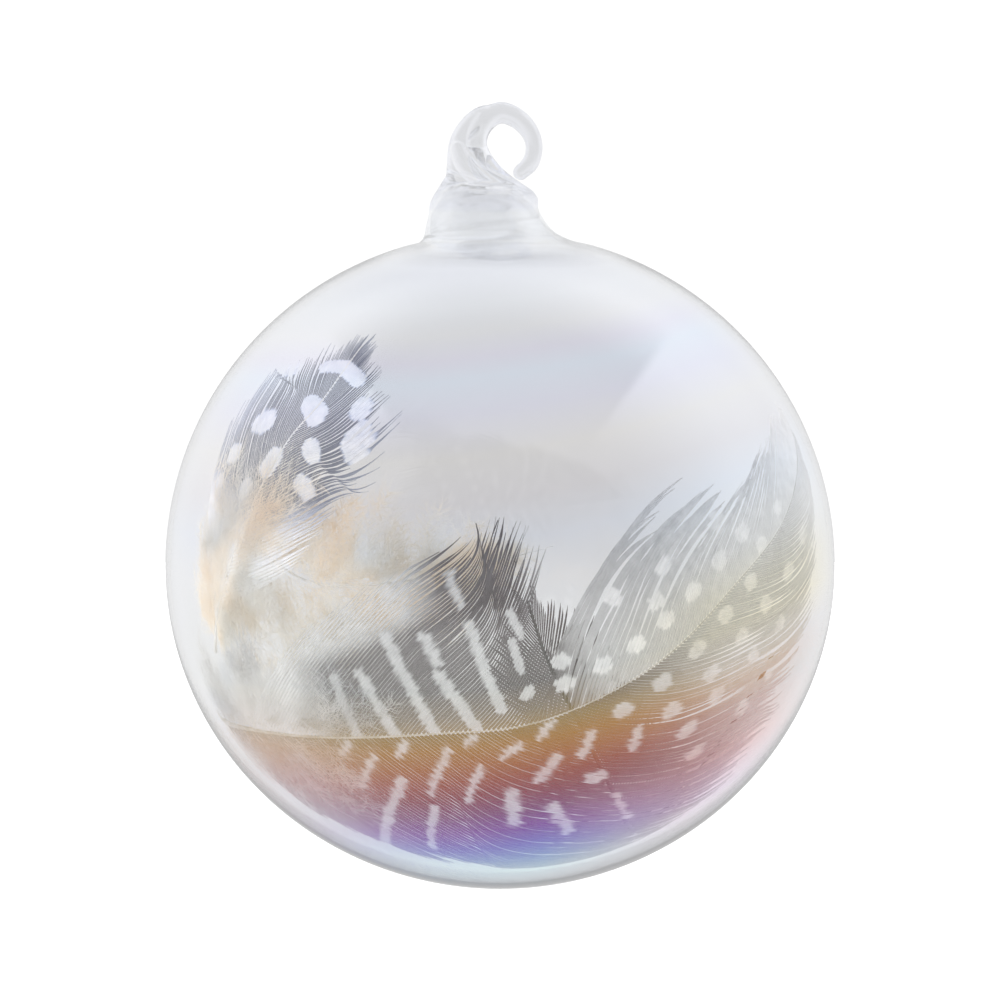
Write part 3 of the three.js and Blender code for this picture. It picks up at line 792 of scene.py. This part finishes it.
def crown():
    """The neck and the hook as one solid: the surface where crown_distance is 0, as a net of
    quads over the cells of a grid that it passes through."""
    sides = [np.arange(a, b, CROWN_CELL) for a, b in zip(CROWN_LOW, CROWN_HIGH)]
    shape = tuple(len(v) for v in sides)
    field = crown_distance(np.stack(np.meshgrid(*sides, indexing="ij"), -1))
    inside_it = field < 0
    total = np.zeros(tuple(n - 1 for n in shape) + (3,))
    hits = np.zeros(tuple(n - 1 for n in shape))
    corners = [(i, j, k) for i in (0, 1) for j in (0, 1) for k in (0, 1)]

    def corner(c, values):
        return values[tuple(slice(o, o + n - 1) for o, n in zip(c, shape))]

    for c in corners:
        for axis in range(3):
            if c[axis]:
                continue
            other = tuple(v + (axis == m) for m, v in enumerate(c))
            here, there = corner(c, field), corner(other, field)
            crossed = (here < 0) != (there < 0)
            f = np.where(crossed, here / np.where(crossed, here - there, 1), 0)
            at = np.array(c, float) + np.zeros(hits.shape + (3,))
            at[..., axis] += f
            total += np.where(crossed[..., None], at, 0)
            hits += crossed
    used = hits > 0
    index = np.full(hits.shape, -1)
    index[used] = np.arange(used.sum())
    where = np.argwhere(used) + total[used] / hits[used][:, None]
    points = where * CROWN_CELL + np.array(CROWN_LOW)
    quads = []
    for axis in range(3):
        step = [0, 0, 0]
        step[axis] = 1
        first = tuple(slice(0, n - s) for n, s in zip(shape, step))
        second = tuple(slice(s, n) for n, s in zip(shape, step))
        crossed = inside_it[first] != inside_it[second]
        at = np.argwhere(crossed)
        outward = inside_it[first][tuple(at.T)]
        m, n = [v for v in range(3) if v != axis]
        four = []
        for dm, dn in ((0, 0), (-1, 0), (-1, -1), (0, -1)):
            moved = at.copy()
            moved[:, m] += dm
            moved[:, n] += dn
            four.append(index[tuple(moved.T)])
        face = np.stack(four, -1)
        if axis == 1:
            face = face[:, ::-1]
        quads.append(np.where(outward[:, None], face, face[:, ::-1]))
    quads = np.concatenate(quads)
    for _ in range(2):
        value = crown_distance(points)
        slope = np.stack([crown_distance(points + d) - value for d in 0.02 * np.eye(3)], -1) / 0.02
        points = points - 0.8 * slope * (value / np.maximum((slope ** 2).sum(1), 0.2))[:, None]
    return make_piece("crown", points, [quads], outer_glass)


def union(target, tool):
    join = target.modifiers.new("join", "BOOLEAN")
    join.operation = "UNION"
    join.solver = "MANIFOLD"
    join.object = tool
    evaluated = target.evaluated_get(bpy.context.evaluated_depsgraph_get())
    mesh = bpy.data.meshes.new_from_object(evaluated)
    target.modifiers.clear()
    target.data = mesh
    bpy.data.objects.remove(tool)


shell, cavity = ball()
union(shell, crown())
# The cavity's wall goes into the same mesh, facing inwards
bpy.ops.object.select_all(action="DESELECT")
for o in (shell, cavity):
    o.select_set(True)
bpy.context.view_layer.objects.active = shell
bpy.ops.object.join()
shell.data.materials.append(rod_glass)
rod_index = len(shell.data.materials) - 1
for polygon in shell.data.polygons:
    polygon.use_smooth = True
    x, _, z = (np.array(polygon.center) - CENTRE) / MM
    if z > ROD_FROM and abs(x) < CROWN_REACH:
        polygon.material_index = rod_index
finish_piece(shell, "glass", ["glass_globe", "neck_seal", "hanging_hook"])


# ---- feathers

def row_of_spots(start, end, count, half, length=0.6):
    """Spots evenly spaced from start to end, each a short bar along the shaft."""
    f = np.linspace(0, 1, count)[:, None]
    middles = np.array(start) + (np.array(end) - np.array(start)) * f
    return [((a - length / 2, s), (a + length / 2, s), half) for a, s in middles]


quill("main_quill", main_lay, [(0, 0.2), (0.06, 0.26), (0.28, 0.15), (0.42, 0.08), (1, 0.05)], quill_look,
      "main_feather", "main_shaft")

UPPER_BARS = [
    ((32.4, 0.3), (31.4, 7.7), 0.55), ((37.2, 0.3), (34.8, 8.2), 0.6),
    ((42.0, 0.3), (38.6, 12.3), 0.6), ((47.0, 0.3), (43.5, 7.3), 0.6),
    ((43.7, 8.8), (42.6, 12.1), 0.5), ((50.1, 2.8), (47.3, 12.9), 0.65),
    ((53.4, 3.7), (54.1, 4.2), 0.6), ((53.8, 7.0), (53.8, 10.4), 0.55),
    ((55.3, 11.0), (54.8, 13.5), 0.6), ((46.5, 15.5), (45.5, 19.0), 0.45),
]
UPPER_SPOTS = (
    row_of_spots((58.5, 3.5), (87.5, 3.9), 7, 0.85)
    + row_of_spots((60.1, 11.2), (85.2, 7.4), 4, 0.85)
    + row_of_spots((59.0, 6.3), (73.2, 6.3), 2, 0.8)
    + row_of_spots((89.4, 0.9), (101.5, 2.6), 3, 0.7)
)
LOWER_BARS = [
    ((30.7, -0.9), (29.0, -2.2), 0.5), ((38.2, -1.2), (36.8, -2.5), 0.5),
    ((46.6, -0.7), (45.5, -1.6), 0.45), ((29.7, -7.2), (33.3, -2.8), 0.5),
    ((39.0, -8.9), (43.0, -2.3), 0.5), ((44.1, -10.4), (46.6, -5.2), 0.5),
    ((49.4, -4.0), (51.2, -2.5), 0.5), ((53.6, -2.0), (55.3, -0.7), 0.5),
    ((24.3, -19.8), (35.8, -6.7), 0.65), ((33.5, -19.8), (38.6, -11.5), 0.6),
    ((49.2, -15.4), (49.5, -9.5), 0.6), ((52.4, -8.2), (54.8, -5.6), 0.55),
    ((57.4, -6.4), (59.3, -4.0), 0.5), ((52.9, -13.0), (53.6, -19.3), 0.55),
    ((59.3, -15.2), (59.9, -21.3), 0.4), ((62.9, -8.7), (64.3, -6.8), 0.55),
]
LOWER_SPOTS = (
    row_of_spots((58.0, -10.7), (69.4, -11.0), 2, 0.85)
    + row_of_spots((63.4, -3.0), (85.2, -1.4), 5, 0.85)
    + row_of_spots((68.5, -6.8), (98.1, -4.6), 6, 0.85)
    + row_of_spots((73.7, -9.6), (88.0, -9.6), 3, 0.8)
    + row_of_spots((69.4, -15.5), (83.0, -14.6), 3, 0.75)
)


def fluffy_part(a, s):
    """1 where the upper vane's barbs have come loose into down, towards the quill's base."""
    edge = 7.2 + 0.34 * (a - 31)
    return smooth_step(s, edge, edge + 5) * (1 - smooth_step(a, 40, 47))


def upper_pale(a, s):
    """The upper vane pales to down towards the quill's base, and towards its tip. Its dark brown
    tuft is where the barbs reach furthest."""
    base = 0.82 * (1 - smooth_step(a, 24, 34))
    tip = 0.58 * smooth_step(a, 54, 64) + 0.13 * smooth_step(a, 66, 84) + 0.2 * smooth_step(a, 94, 108)
    middle = (0.2 - 0.08 * smooth_step(a, 44, 52)) * (1 - smooth_step(s, 11, 17))
    middle = middle + 0.25 * smooth_step(s, 14, 20)
    fluffy = 0.72 * fluffy_part(a, s)
    return np.maximum(np.maximum(base, fluffy), np.maximum(tip, middle))


def lower_pale(a, s):
    base = 0.32 * (1 - smooth_step(a, 20, 36))
    edge = 0.22 * smooth_step(-s, 10, 18) * smooth_step(a, 50, 60)
    tip = 0.6 * smooth_step(a, 60, 80) + 0.2 * smooth_step(a, 92, 106)
    return np.maximum(base, np.maximum(edge, tip))


# The line where the vane has parted: its place along the shaft, and how it leans across it
PARTING_AT, PARTING_LEAN = 58.05, 0.075


def parting(a, s):
    """1 along the line where the vane has parted a little, over the dark feather's shaft."""
    return 1 - smooth_step(np.abs(a - PARTING_AT + PARTING_LEAN * s), 0.15, 0.45)


def upper_open(a, s):
    behind = smooth_step(a, 47, 52) * (1 - smooth_step(a, 60, 64)) * (1 - smooth_step(s, 12, 16))
    parted = 0.75 * parting(a, s) * (1 - smooth_step(s, 11, 14))
    return np.maximum(0.45 * fluffy_part(a, s) + 0.1 * behind, parted)


def lower_open(a, s):
    """Near its own shaft the lower vane stays closed."""
    return 0.75 * parting(a, s) * smooth_step(-s, 5, 7.5)


def nowhere(a, s):
    return np.zeros_like(a)


main_looks = {
    "pitch": 0.54, "steps": 60, "cover": 1.05, "thin": 0.3, "ragged": 0.2, "lock": 9, "part": 0.03,
    "stray": 0.07, "gather": 0.02, "spot": lambda a: SPOT + 0.17 * smooth_step(a, 54, 66),
    "open": upper_open, "ripple": 0.06, "jag": 0.12, "bars": UPPER_BARS + UPPER_SPOTS,
    "pale": upper_pale,
}
main_lower_looks = {
    **main_looks, "bars": LOWER_BARS + LOWER_SPOTS, "ragged": 0.14, "pale": lower_pale,
    "spot": lambda a: SPOT + 0.13 * smooth_step(a, 66, 80), "open": lower_open, "thin": 0.12,
}
MAIN_UPPER_ROWS = [
    (15, 46, 44, 22), (21, 45, 43, 33), (28, 44, 42, 36), (36, 44, 42, 34), (42, 44, 42, 28),
    (45, 44, 44, 15), (53.6, 46, 44, 14), (54.6, 66, -15, 34), (62, 52, -11, 29), (68, 42, -5, 22),
    (73, 38, -2, 25), (86, 32, 4, 21), (100, 28, 8, 13), (113.5, 14, 5, 5),
]
MAIN_LOWER_ROWS = [
    (6, 62, 58, 17), (16, 60, 54, 30), (24, 58, 50, 40), (31, 54, 43, 45), (38, 50, 34, 44),
    (48, 46, 18, 43), (60, 42, 4, 37), (72, 36, 0, 29), (86, 30, 2, 21), (100, 24, 8, 13),
    (113.5, 12, 5, 5),
]
both_sides(
    vane, main_lay, ("main_upper_vane", "main_lower_vane"), (MAIN_UPPER_ROWS, MAIN_LOWER_ROWS),
    (main_looks, main_lower_looks), 11, vane_look, "main_feather",
)
down_looks = {
    "count": 100, "spread": 0.3, "curl": 0.7, "forward": 0.15, "shell": (-0.55, 0.15), "barb": 0.025,
    "barbules": 65, "reach": 4.2, "barbule": 0.016,
}
both_sides(
    down, main_lay, ("main_upper_down", "main_lower_down"),
    ([(3, 70, 5), (10, 75, 11), (20, 68, 13), (30, 60, 10)],
     [(1, 60, 7), (8, 62, 13), (18, 58, 15), (27, 55, 12)]),
    [down_looks] * 2, 21, grey_down_look, "main_feather",
)

# The short feather at the upper left
quill("left_quill", left_lay, [(0, 0.22), (0.5, 0.12), (1, 0.06)], white_quill_look,
      "left_feather", "left_shaft")
LEFT_SPOTS = [
    ((39.2, 8.6), (38.8, 10.4), 1.15), ((40.2, 3.4), (40.6, 0.2), 0.85),
    ((40.6, 0.2), (39.4, -3.0), 0.85), ((34.4, 1.4), (34.0, -0.9), 1.25),
    ((29.4, 5.8), (28.8, 7.7), 1.1), ((36.8, -5.6), (36.8, -6.2), 0.95),
    ((23.9, 8.9), (23.5, 9.7), 1.25), ((26.9, 0.5), (25.6, 0.8), 1.2),
    ((30.9, -3.9), (30.5, -4.9), 1.2), ((34.9, -8.0), (34.5, -9.2), 1.15),
    ((19.1, 9.8), (18.1, 9.8), 1.1), ((21.9, 2.6), (21.3, 2.6), 1.0),
    ((26.5, -5.6), (26.1, -7.3), 0.9),
]


def left_pale(a, s):
    base = 0.95 * (1 - smooth_step(a + 0.5 * np.minimum(s, 0), 16, 25))
    fringe = 0.25 + 0.24 * smooth_step(np.abs(s), 7, 14) + 0.2 * smooth_step(a, 40, 46)
    return np.maximum(base, fringe)


left_looks = {
    **main_looks, "pitch": 0.5, "steps": 54, "cover": 0.92, "thin": 0.55, "ragged": 0.22, "part": 0.03,
    "spot": lambda a: np.full_like(a, 0.85), "open": nowhere,
    "bars": LEFT_SPOTS, "pale": left_pale,
}
LEFT_OUTER_ROWS = [
    (5, 50, 26, 27), (12, 46, 26, 25), (22, 42, 22, 20), (30, 34, 16, 14.5), (37, 24, 12, 8),
    (43.5, 10, 5, 3),
]
LEFT_INNER_ROWS = [
    (8, 52, 40, 15), (14, 50, 36, 18.5), (17, 48, 32, 23), (21, 44, 26, 20), (29, 34, 16, 12.5),
    (37, 24, 12, 7), (43.5, 10, 5, 3),
]
both_sides(
    vane, left_lay, ("left_outer_vane", "left_inner_vane"), (LEFT_OUTER_ROWS, LEFT_INNER_ROWS),
    [left_looks] * 2, 31, slate_look, "left_feather",
)
both_sides(
    down, left_lay, ("left_outer_down", "left_inner_down"),
    ([(2, 65, 7), (10, 60, 11), (21, 50, 12)], [(2, 65, 7), (10, 62, 11), (21, 52, 12)]),
    [{**down_looks, "shell": (-0.4, 0.35)}] * 2, 33, cream_look, "left_feather",
)

# The dark feather behind
quill("back_quill", back_lay, [(0, 0.3), (0.3, 0.35), (0.8, 0.24), (1, 0.16)], dark_quill_look,
      "back_feather", "back_shaft")
back_looks = {
    **main_looks, "pitch": 0.55, "steps": 34, "cover": 0.8, "ragged": 0.3, "open": nowhere,
    "spot": lambda a: np.full_like(a, SPOT),
    "bars": row_of_spots((36, 4), (73, 4), 8, 0.9) + row_of_spots((36, -4), (73, -4), 8, 0.9),
    "pale": nowhere,
}
BACK_VANE_ROWS = [(29, 55, 50, 8), (40, 48, 42, 14), (65, 42, 34, 12), (80, 20, 12, 4)]
both_sides(
    vane, back_lay, ("back_left_vane", "back_right_vane"), [BACK_VANE_ROWS] * 2, [back_looks] * 2,
    41, back_look, "back_feather",
)
both_sides(
    down, back_lay, ("back_left_down", "back_right_down"), [[(2, 60, 7), (15, 60, 12), (30, 50, 10)]] * 2,
    [{**down_looks, "shell": (-0.3, 0.25)}] * 2, 43, grey_down_look, "back_feather",
)

# The cream plume
quill("plume_quill", plume_lay, [(0, 0.25), (0.2, 0.15), (1, 0.05)], white_quill_look,
      "downy_plume", "plume_shaft")
both_sides(
    down, plume_lay, ("plume_upper_down", "plume_lower_down"),
    ([(3, 60, 9), (16, 55, 14), (34, 42, 9), (44, 25, 4)],
     [(3, 60, 10), (16, 55, 17), (34, 42, 10), (44, 25, 4)]),
    [{**down_looks, "shell": (-1.1, 0.7), "reach": 4.5}] * 2, 51, cream_look, "downy_plume",
    slot="cream_down",
)


# ---- studio

# The tent's soft edges, in degrees: where the roof meets the walls, where the roof and the walls
# end at the open camera side, and how high the opening starts
ROOF_EDGE, ROOF_END, WALL_END, OPEN_FLOOR = (52.5, 55.5), (55, 95), (75, 135), (-30, 10)
# Its light straight ahead, and the angles over which it grows to the side, first and then further
AHEAD_LIGHT, NEARER, NEARER_MORE, FURTHER, FURTHER_MORE = 0.80, (12, 40), 0.12, (40, 60), 0.1
# What the opening takes away, the least light that is left, and the light of the backdrop itself
OPENING_LESS, LEAST_LIGHT, BACKDROP = 0.97, 0.05, 1.1


def studio():
    """An all-white studio that turns with the camera. On the camera's side it has a dim opening,
    where the camera stands. Matt surfaces see it all white."""
    world = bpy.data.worlds.new("studio")
    bpy.context.scene.world = world
    n = Nodes(world, "ShaderNodeOutputWorld")
    world.cycles.sampling_method = "NONE"

    def step(value, ends):
        low, high = map(math.radians, ends)
        limits = {"From Min": low, "From Max": high, "To Min": 0.0, "To Max": 1.0}
        return n.add(
            "ShaderNodeMapRange", {"Value": value, **limits}, interpolation_type="SMOOTHSTEP"
        ).outputs["Result"]

    view = n.add("ShaderNodeTexCoord").outputs["Camera"]
    view = n.add("ShaderNodeVectorMath", {0: view}, operation="NORMALIZE").outputs[0]
    xyz = n.add("ShaderNodeSeparateXYZ", {"Vector": view})
    from_ahead = n.math("ARCCOSINE", xyz.outputs["Z"])
    elevation = n.math("ARCSINE", xyz.outputs["Y"])
    around = n.math("ARCTAN2", xyz.outputs["Y"], n.math("ABSOLUTE", xyz.outputs["X"]))
    roof_opening, wall_opening = step(from_ahead, ROOF_END), step(from_ahead, WALL_END)
    opening = n.math(
        "MULTIPLY_ADD", step(around, ROOF_EDGE), n.math("SUBTRACT", roof_opening, wall_opening),
        wall_opening,
    )
    opening = n.math("MULTIPLY", opening, step(elevation, OPEN_FLOOR))
    level = n.math("MULTIPLY_ADD", step(from_ahead, NEARER), NEARER_MORE, AHEAD_LIGHT)
    level = n.math("MULTIPLY_ADD", step(from_ahead, FURTHER), FURTHER_MORE, level)
    level = n.math("MULTIPLY_ADD", opening, -OPENING_LESS, level)
    level = n.math("MAXIMUM", level, LEAST_LIGHT)
    path = n.add("ShaderNodeLightPath")
    missing = n.math("SUBTRACT", 1.0, level)
    level = n.math("MULTIPLY_ADD", path.outputs["Is Diffuse Ray"], missing, level)
    level = n.math("MAXIMUM", level, n.math("MULTIPLY", path.outputs["Is Camera Ray"], BACKDROP))
    light = n.add("ShaderNodeBackground", {"Color": WHITE, "Strength": level})
    n.surface(light.outputs[0])


def lamps(holder):
    """Two wide soft lamps beside the camera. They light the feathers, and no glass shows them."""
    for x, y, strength in ((-0.75, 0.55, 0.7), (0.85, 0.25, 0.5)):
        data = bpy.data.lights.new("lamp", "SUN")
        data.energy = strength
        data.angle = math.radians(50)
        made = placed("lamp", data)
        made.parent = holder
        made.rotation_euler = Vector((x, y, 1)).to_track_quat("Z", "Y").to_euler()
        made.visible_glossy = False
        made.visible_transmission = False


def floor():
    n = Nodes(bpy.data.materials.new("pale_floor"))
    shade = n.add("ShaderNodeBsdfDiffuse", {"Color": (0.95, 0.95, 0.95, 1)})
    glow = n.add("ShaderNodeEmission", {"Color": WHITE, "Strength": 0.5})
    both = n.add("ShaderNodeAddShader", {0: shade.outputs[0], 1: glow.outputs[0]})
    material = n.surface(both.outputs[0])
    mesh = bpy.data.meshes.new("floor")
    half, z = 30.0, -0.3
    corners = [(-half, -half, z), (half, -half, z), (half, half, z), (-half, half, z)]
    mesh.from_pydata(corners, [], [(0, 1, 2, 3)])
    mesh.materials.append(material)
    made = placed("floor", mesh)
    made.visible_glossy = False
    made.visible_transmission = False


def camera():
    data = bpy.data.cameras.new("camera")
    made = placed("camera", data)
    distance, view_width, aim_above = 0.9, 0.11958, 0.0078
    data.sensor_width = 36
    data.lens = 36 * distance / view_width
    data.clip_start, data.clip_end = 0.01, 100
    made.location = (CENTRE[0], CENTRE[1] - distance, CENTRE[2] + aim_above)
    made.rotation_euler = (math.pi / 2, 0, 0)
    bpy.context.scene.camera = made
    return made


studio()
floor()
lamps(camera())
scene = bpy.context.scene
scene.view_settings.view_transform = "Standard"
scene.cycles.max_bounces = 24
scene.cycles.transmission_bounces = 20
scene.cycles.transparent_max_bounces = 24
scene.cycles.diffuse_bounces = 10
scene.cycles.glossy_bounces = 8
scene.cycles.caustics_reflective = False
scene.cycles.caustics_refractive = False
